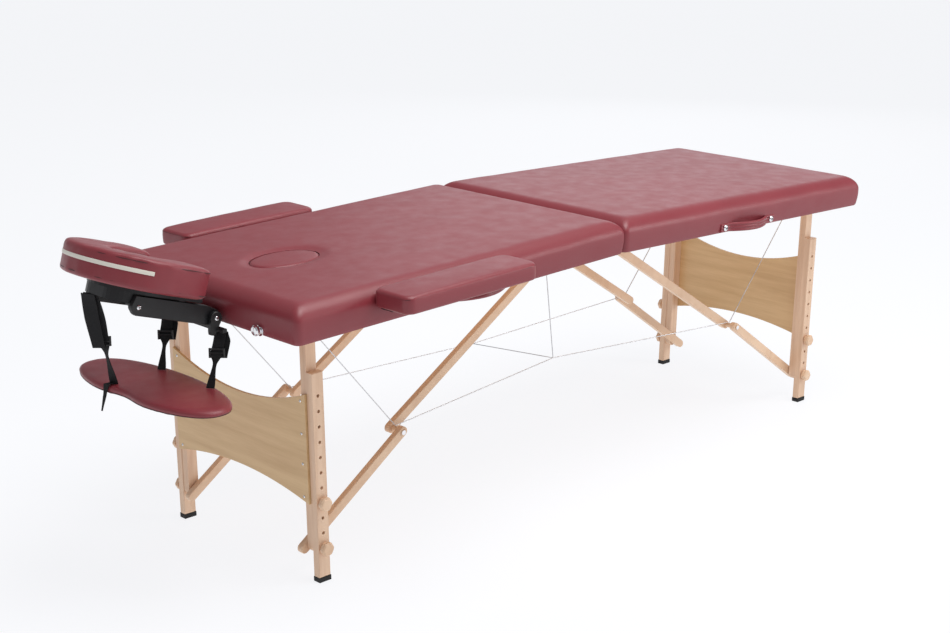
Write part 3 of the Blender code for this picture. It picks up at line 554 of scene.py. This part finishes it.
def horseshoe_path(radius, centre, tip, steps):
    """(x, y) and outward normals of a horseshoe's line, from its left tip round to its right tip."""
    line = []
    straight = 8
    for i in range(straight):
        line.append(((-tip - (centre - tip) * i / straight, radius), (0.0, 1.0)))
    for i in range(steps + 1):
        angle = math.pi / 2 + math.pi * i / steps
        normal = (math.cos(angle), math.sin(angle))
        line.append(((-centre + radius * normal[0], radius * normal[1]), normal))
    for i in range(1, straight + 1):
        line.append(((-centre + (centre - tip) * i / straight, -radius), (0.0, -1.0)))
    return line


def cushion_sizes():
    """The cushion's two corners, outer and inner radius and arc centre, in the cradle's frame."""
    lo, hi = local_box("cradle_cushion", cradle_matrix())
    outer = (hi.y - lo.y) / 2
    return lo, hi, outer, outer * CUSHION_INNER, -lo.x - outer


def cushion_section(count):
    """Points of a rounded section, across and up, each from -1 to 1."""
    points = []
    for k in range(count):
        t = math.tau * k / count
        c, s = math.cos(t), math.sin(t)
        points.append((math.copysign(abs(c) ** SECTION_POWER, c), math.copysign(abs(s) ** SECTION_POWER, s)))
    return points


def cushion():
    """A horseshoe pad whose outer wall is puckered, with a pale stripe and two seams."""
    matrix = cradle_matrix()
    lo, hi, outer, inner, centre = cushion_sizes()
    middle_r, half_wide = (outer + inner) / 2, (outer - inner) / 2
    middle_z, half_high = (lo.z + hi.z) / 2, (hi.z - lo.z) / 2
    path = horseshoe_path(middle_r, centre, -hi.x + 0.004, 84)
    section = cushion_section(56)
    rings = []
    last = len(path) - 1
    for i, ((x, y), normal) in enumerate(path):
        end = min(i, last - i)
        close = math.sqrt(1 - (1 - min(1.0, (end + 0.25) / 3)) ** 2)
        shrink = 0.80 + 0.20 * close
        ring = []
        for across, up in section:
            out, high = across * half_wide * shrink, up * half_high * shrink
            place = Vector((x, y, high))
            crease = noise.noise(Vector((x * 34 + high * 22, y * 34, high * 16)))
            fold = noise.noise(Vector((x * 75 + high * 50, y * 75 + high * 30, 3.0)))
            band = min(1.0, abs(up - (2 * STRIPE_HEIGHT - 1)) / 0.30) ** 2
            pucker = max(0.0, across) ** 3 * (1 - up * up * 0.5) * band
            out -= 0.0012 * max(0.0, across) ** 3 + pucker * (0.0024 * crease + 0.0020 * fold)
            if up > 0.4:
                high += 0.0012 * (1 - across * across) + 0.0010 * noise.noise(place * 32) - 0.001
            ring.append((x + normal[0] * out, y + normal[1] * out, middle_z + high))
        rings.append(ring)
    made = add_piece("cradle_pad", skin(rings), BURGUNDY, matrix)
    finish_soft(made, "cradle_head", "cradle_cushion")
    wall = outer - 0.0012
    for part, share in SEAM_SHARES.items():
        z = lo.z + (hi.z - lo.z) * share
        line = horseshoe_path(wall - 0.0014, centre, -hi.x + 0.006, 60)
        seam = tube(f"cradle_{part}_seam", [(*p, z) for p, _ in line], SEAM_RADIUS, SEAM, matrix, 6)
        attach(seam, "cradle_head")
    stripe(matrix, wall, centre, lo.z + (hi.z - lo.z) * STRIPE_HEIGHT)


def stripe(matrix, wall, centre, z):
    """A pale band on the cushion's outer wall, round its front."""
    rings = []
    steps = 72
    for i in range(steps + 1):
        angle = math.pi / 2 + STRIPE_START + (math.pi - 2 * STRIPE_START) * i / steps
        ring = []
        for out, up in ((-0.0030, -1), (0.0008, -0.92), (0.0014, 0), (0.0008, 0.92), (-0.0030, 1)):
            radius = wall + out
            ring.append((-centre + radius * math.cos(angle), radius * math.sin(angle), z + up * STRIPE_HALF))
        rings.append(ring)
    made = add_piece("cradle_stripe", skin(rings), PALE, matrix)
    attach(made, "cradle_head")


def sling_outline(half_long, half_wide, notch, count):
    """A kidney shape, its outer edge drawn in at the middle."""
    points = []
    for i in range(count):
        angle = math.tau * i / count
        y = half_long * math.cos(angle)
        x = half_wide * math.copysign(abs(math.sin(angle)) ** 0.85, math.sin(angle))
        if x < 0:
            x += notch * math.exp(-(y / (half_long / 4)) ** 2)
        points.append((x, y))
    return points


def sling_board():
    """A thin padded board with a gathered lower rim."""
    lo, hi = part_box("sling_board")
    centre = (lo + hi) / 2
    half_long = (hi.y - lo.y) / 2
    half_wide = (hi.x - lo.x) / 2
    outline = sling_outline(half_long, half_wide * 1.04, half_wide * 0.18, 160)
    centre.x = hi.x - half_wide * 1.04
    thick = hi.z - lo.z
    levels = [(0.55, 0.0), (0.90, 0.0), (0.965, 0.06), (0.99, 0.22), (1.0, 0.45), (0.992, 0.66),
              (0.968, 0.84), (0.93, 0.94), (0.86, 0.985), (0.74, 1.0), (0.55, 1.0), (0.34, 1.0), (0.14, 1.0)]
    rings = []
    for scale, share in levels:
        ring = []
        for x, y in outline:
            gather = 0.0016 * noise.noise(Vector((x * 60, y * 60, 1.0))) if 0 < share < 0.5 else 0.0
            z = lo.z + thick * share + gather
            ring.append((centre.x + x * scale * (1 + gather * 4), centre.y + y * scale * (1 + gather * 2), z))
        rings.append(ring)
    made = add_piece("sling_cushion", skin(rings), BURGUNDY, sharp=50)
    finish_soft(made, "arm_sling", "sling_board")
    rim = [(centre.x + x * 0.987, centre.y + y * 0.987, lo.z + thick * 0.20) for x, y in outline]
    seam = tube("sling_seam", rim, SEAM_RADIUS * 1.3, SEAM, sides=6, closed_path=True)
    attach(seam, "arm_sling")


# Straps -------------------------------------------------------------------------------------------

def ribbon(name, points, widths, turns, thick=0.0018):
    """Flat webbing along points; turns are the angles of its width from +Y, about the strap's own line."""
    rings = []
    fine = 6
    for i in range(len(points) - 1):
        last = i == len(points) - 2
        for k in range(fine + (1 if last else 0)):
            t = k / fine
            smooth = t * t * (3 - 2 * t)
            p = Vector(points[i]).lerp(Vector(points[i + 1]), t)
            wide = widths[i] + (widths[i + 1] - widths[i]) * smooth
            turn = turns[i] + (turns[i + 1] - turns[i]) * smooth
            across = Vector((math.sin(turn), math.cos(turn), 0))
            out = Vector((math.cos(turn), -math.sin(turn), 0))
            rings.append([p + across * (a * wide / 2) + out * (b * thick / 2)
                          for a, b in ((-1, -1), (1, -1), (1, 1), (-1, 1))])
    return add_piece(name, skin(rings), WEBBING, sharp=40)


def add_bar(work, start, end, radius, sides=10):
    """Adds a capped round bar to a bmesh."""
    rings = tube_rings([start, end], radius, sides)
    first, second = [[work.verts.new(p) for p in ring] for ring in rings]
    for i in range(sides):
        j = (i + 1) % sides
        work.faces.new((first[i], first[j], second[j], second[i]))
    work.faces.new(first[::-1])
    work.faces.new(second)


def slider(name, centre, wide, turn):
    """A small moulded buckle round a strap."""
    work = bmesh.new()
    across = Vector((math.sin(turn), math.cos(turn), 0)) * wide / 2
    for up in (-0.0075, 0.0, 0.0075):
        middle = Vector(centre) + Vector((0, 0, up))
        add_bar(work, middle - across, middle + across, 0.0022)
    upright = Vector((0, 0, 0.0095))
    for side in (-1, 1):
        middle = Vector(centre) + across * side
        add_bar(work, middle - upright, middle + upright, 0.0024)
    return add_piece(name, work, PLASTIC, sharp=50)


def strap_ends(node):
    """Middles of a strap's lower and upper ends."""
    points = [v.co for v in frame["nodes"][node].data.vertices]
    low, high = min(p.z for p in points), max(p.z for p in points)
    ends = []
    for level in (low, high):
        near = [p for p in points if abs(p.z - level) < 0.001]
        ends.append(sum(near, Vector()) / len(near))
    return ends


def hang_strap(node, body, buckle_share, top_wide, loop):
    """Webbing from the cradle to the board: wide and doubled down to its buckle, then narrow."""
    low, high = strap_ends(node)
    buckle = high.lerp(low, buckle_share)
    part = high.lerp(buckle, 0.5)
    nearly = buckle.lerp(low, 0.35)
    strap = ribbon(f"{node}_webbing", [high, part, buckle, nearly, low],
                   [top_wide, top_wide * 0.90, 0.024, 0.011, 0.017], [-0.25, -0.65, -0.80, 0.10, -0.55])
    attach(strap, body)
    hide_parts(node)
    out = Vector((loop * 0.006, 0, 0))
    line = [high + out, part + out * 1.8, buckle + out * 1.6 + Vector((0, 0, -0.012)),
            buckle + out * 0.5 + Vector((0, 0, -0.002))]
    fold = ribbon(f"{node}_fold", line, [top_wide * 0.9, 0.028, 0.024, 0.022], [-0.30, -0.70, -0.80, -0.80])
    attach(fold, body)
    made = slider(f"{node}_slider", buckle, 0.027, -0.80)
    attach(made, body)
    return low


def straps():
    low = hang_strap("front_strap", "front_strap", 0.52, 0.036, -1)
    for side_name in SIDES:
        hang_strap(f"{side_name}_rear_strap", "cradle_base", 0.38, 0.025, 1)
    steps = ((-0.001, 0, 0.0025), (-0.017, 0.001, 0.0030), (-0.0200, 0.003, -0.018), (-0.025, 0.009, -0.052))
    tail = ribbon("front_strap_tail", [low + Vector(step) for step in steps],
                  [0.014, 0.012, 0.008, 0.004], [-0.4, -0.3, -0.2, 0.1])
    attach(tail, "front_strap")


# Handles, screws and cables -----------------------------------------------------------------------

def bolt_head(name, centre, axis, radius, body, profile):
    """A turned metal head; its profile is radius and height, both as shares of the radius."""
    turn = Vector((0, 0, 1)).rotation_difference(Vector(axis)).to_matrix().to_4x4()
    rings = [[(radius * r * math.cos(t), radius * r * math.sin(t), radius * z)
              for t in (math.tau * k / 24 for k in range(24))] for r, z in profile]
    made = add_piece(name, skin(rings), CHROME, Matrix.Translation(centre) @ turn, 40)
    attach(made, body)
    return turn


def screw(name, centre, axis, radius, body):
    """A domed cross-head screw; its recess is drawn as a raised cross in the black rubber material, painted
    shade.
    """
    turn = bolt_head(name, centre, axis, radius, body, SCREW_PROFILE)
    # Painted shade: a black cross stands in for the dark recess, which is not cut into the head.
    cross = bmesh.new()
    for quarter in range(2):
        size = Matrix.Diagonal((radius, radius * 0.22, radius * 0.10, 1))
        bmesh.ops.create_cube(cross, size=1.0, matrix=Matrix.Rotation(math.pi / 2 * quarter, 4, "Z") @ size)
    place = Matrix.Translation(centre) @ turn @ Matrix.Translation((0, 0, radius * 0.53))
    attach(add_piece(f"{name}_cross", cross, RUBBER, place), body)


def panel_screws():
    for end, sign in ENDS.items():
        matrix = half_matrix(sign)
        lo, hi = local_box(f"{end}_end_panel", matrix)
        face = hi.x if sign > 0 else lo.x
        axis = matrix.to_3x3() @ Vector((sign, 0, 0))
        for side_name, side in SIDES.items():
            for i, w in enumerate(PANEL_SCREW_W):
                centre = matrix @ Vector((face, side * PANEL_SCREW_Y, w))
                screw(f"{end}_{side_name}_panel_screw_{i}", centre, axis, PANEL_SCREW_RADIUS, f"{end}_legs")


def carry_handles():
    """Ribbed leather straps, bowed out from the right side, with a screw through each end."""
    for end, sign in ENDS.items():
        matrix = half_matrix(sign)
        node = f"{end}_carry_handle"
        lo, hi = local_box(node, matrix)
        bow = (hi.y - lo.y) - HANDLE_THICK
        steps = 40
        rings = []
        for i in range(steps + 1):
            x = lo.x + (hi.x - lo.x) * i / steps
            part = (x - lo.x - HANDLE_FLAT) / (hi.x - lo.x - 2 * HANDLE_FLAT)
            rise = bow * max(0.0, math.sin(math.pi * min(1.0, max(0.0, part)))) ** 0.8
            rings.append(handle_ring(x, hi.y - rise, (lo.z + hi.z) / 2, (hi.z - lo.z) / 2))
        made = add_piece(f"{end}_handle_strap", skin(rings), BURGUNDY, matrix, 45)
        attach(made, f"{end}_table")
        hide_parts(node)
        for k, x in enumerate((lo.x + HANDLE_TAB, hi.x - HANDLE_TAB)):
            centre = matrix @ Vector((x, hi.y - HANDLE_THICK, (lo.z + hi.z) / 2))
            screw(f"{end}_handle_screw_{k}", centre, (0, -1, 0), HANDLE_SCREW_RADIUS, f"{end}_table")


def handle_ring(x, y, z, half):
    """One section of a handle: a flat back, and three ribs on its face."""
    face = []
    count = 13
    for k in range(count):
        share = -1 + 2 * k / (count - 1)
        rib = HANDLE_RIB * abs(math.cos(share * math.pi * 1.5))
        edge = 0.0012 if k in (0, count - 1) else 0.0
        face.append((x, y - HANDLE_THICK + HANDLE_RIB - rib + edge, z + share * half))
    return [(x, y, z + half), (x, y, z - half)] + face


def cradle_screws():
    matrix = cradle_matrix()
    lo, hi = local_box("cradle_arms", matrix)
    reach = (Vector(JOINTS["headrest_angle"]["pos_m"]) - Vector(JOINTS["cradle_tilt"]["pos_m"])).length
    for side_name, side in SIDES.items():
        face = hi.y if side > 0 else lo.y
        centre = matrix @ Vector((-reach, face, 0))
        screw(f"{side_name}_arm_screw", centre, (0, side, 0), CRADLE_SCREW_RADIUS, "cradle_arms")
    lo, hi = local_box("cradle_cam_lever", matrix)
    screw("cam_lever_nut", matrix @ Vector((0, lo.y, 0)), (0, -1, 0), CRADLE_SCREW_RADIUS, "cradle_cam_lever")


def elbow(end, side_name):
    """The middle of a brace's elbow bolt, from the end of its upper link."""
    sign = ENDS[end]
    matrix = half_matrix(sign)
    lo, hi = local_box(f"{end}_{side_name}_upper_link", matrix)
    outer = hi.x if sign > 0 else lo.x
    return matrix @ Vector((outer - sign * LINK_END, cable_y(side_name), lo.z + LINK_END))


def cable_y(side_name):
    """The cables run half way between the two links of a brace."""
    lo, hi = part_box(f"head_{side_name}_upper_link")
    return (hi.y if SIDES[side_name] > 0 else lo.y) + SIDES[side_name] * SPACER_HALF


def elbow_caps():
    """A thin metal cap over the head of each elbow's bolt."""
    for end in ENDS:
        for side_name, side in SIDES.items():
            lo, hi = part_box(f"{end}_{side_name}_lower_link")
            place = elbow(end, side_name)
            place.y = hi.y if side > 0 else lo.y
            bolt_head(f"{end}_{side_name}_elbow_cap", place, (0, side, 0), ELBOW_CAP_RADIUS,
                      f"{end}_lower_links", ELBOW_CAP_PROFILE)


def straight(start, end, steps=14):
    return [Vector(start).lerp(Vector(end), i / steps) for i in range(steps + 1)]


def wire(name, points):
    made = tube(name, points, CABLE_RADIUS, STEEL, sides=8)
    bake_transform(made)
    return made


def cables():
    """Steel cables from the end rails over the elbows to the middle, and the wire across under the hinge."""
    fold = Vector(JOINTS["centre_fold"]["pos_m"])
    near, far = Vector((fold.x, *JUNCTION)), Vector((fold.x, cable_y("left"), FAR_MIDDLE_Z))
    for side_name, middle in (("right", near), ("left", far)):
        inner = {}
        for end, sign in ENDS.items():
            bend = elbow(end, side_name) + Vector((0, 0, CABLE_RISE))
            anchor = half_matrix(sign) @ Vector((sign * CABLE_ANCHOR_U, cable_y(side_name), CABLE_ANCHOR_W))
            wire(f"{end}_{side_name}_stay", straight(anchor, bend))
            inner[end] = middle.lerp(bend, CABLE_HANDOVER)
            wire(f"{end}_{side_name}_run", straight(inner[end], bend, 4))
        points = straight(inner["head"], middle) + straight(middle, inner["foot"])[1:]
        made = wire(f"{side_name}_middle_run", points)
        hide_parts(f"{side_name}_side_cable")
    cross = straight(far, near, 8) + straight(near, (fold.x, *HINGE_WIRE), 8)[1:]
    made = wire("cross_wire", cross)
    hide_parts("centre_cable")


# CAD parts, room and camera -----------------------------------------------------------------------

def finish_cad():
    """A material and smooth shading for every CAD part that shows."""
    for name, part in frame["nodes"].items():
        if part.hide_render:
            continue
        part.data.materials.clear()
        part.data.materials.append(cad_material(name))
        part.data.shade_smooth()
        part.data.set_sharp_from_angle(angle=math.radians(32))


def cad_material(name):
    if name.endswith("_end_panel"):
        return PLY
    if "foot_cap" in name:
        return RUBBER
    if "hinge_leaf" in name:
        return STEEL
    if "stud" in name:
        return CHROME
    if name.startswith("cradle") or "bracket" in name:
        return PLASTIC
    return BEECH_UPRIGHT if "_leg" in name else BEECH_LONG


def area_light(name, place, aim, size, power, colour=(1, 1, 1)):
    data = bpy.data.lights.new(name, "AREA")
    data.shape = "DISK"
    data.size = size
    data.energy = power
    data.color = colour
    made = bpy.data.objects.new(name, data)
    made.location = place
    made.rotation_euler = (Vector(aim) - Vector(place)).to_track_quat("-Z", "Y").to_euler()
    bpy.context.scene.collection.objects.link(made)


def studio():
    """A pale floor that glows, a dim sky and large soft lamps."""
    work = bmesh.new()
    bmesh.ops.create_grid(work, x_segments=2, y_segments=2, size=60.0)
    material, _, _, shader = new_material("floor", (0.13, 0.13, 0.135), 0.9)
    shader.inputs["Emission Color"].default_value = (0.965, 0.975, 1.0, 1)
    shader.inputs["Emission Strength"].default_value = 0.86
    add_piece("studio_floor", work, material)
    world = bpy.data.worlds.new("studio")
    world.use_nodes = True
    sky = world.node_tree.nodes["Background"]
    sky.inputs["Color"].default_value = (0.95, 0.97, 1.0, 1)
    sky.inputs["Strength"].default_value = 0.38
    bpy.context.scene.world = world
    area_light("key", (0.3, -0.9, 3.4), (0, 0, 0.5), 2.6, 92, (1.0, 0.99, 0.98))
    area_light("window", (4.3, 2.9, 2.3), (0.4, 0, 0.6), 3.8, 27, (0.96, 0.97, 1.0))
    area_light("fill", (3.0, -3.0, 1.6), (0.5, 0, 0.5), 1.8, 42)
    bpy.context.scene.view_settings.view_transform = "Standard"


def camera():
    heading, down, roll = CAMERA_HEADING, CAMERA_DOWN, CAMERA_ROLL
    level = math.cos(down)
    forward = Vector((math.sin(heading) * level, math.cos(heading) * level, -math.sin(down)))
    right = Vector((math.cos(heading), -math.sin(heading), 0))
    up = right.cross(forward)
    right, up = (right * math.cos(roll) + up * math.sin(roll), up * math.cos(roll) - right * math.sin(roll))
    data = bpy.data.cameras.new("camera")
    data.lens = CAMERA_LENS
    data.sensor_width = 36.0
    data.clip_end = 200.0
    made = bpy.data.objects.new("camera", data)
    turn = Matrix((right, up, -forward)).transposed().to_4x4()
    made.matrix_world = Matrix.Translation(CAMERA_PLACE) @ turn
    bpy.context.scene.collection.objects.link(made)
    bpy.context.scene.camera = made


camera()
studio()
pads()
plug()
armrests()
cushion()
sling_board()
straps()
carry_handles()
panel_screws()
cradle_screws()
elbow_caps()
cables()
finish_cad()
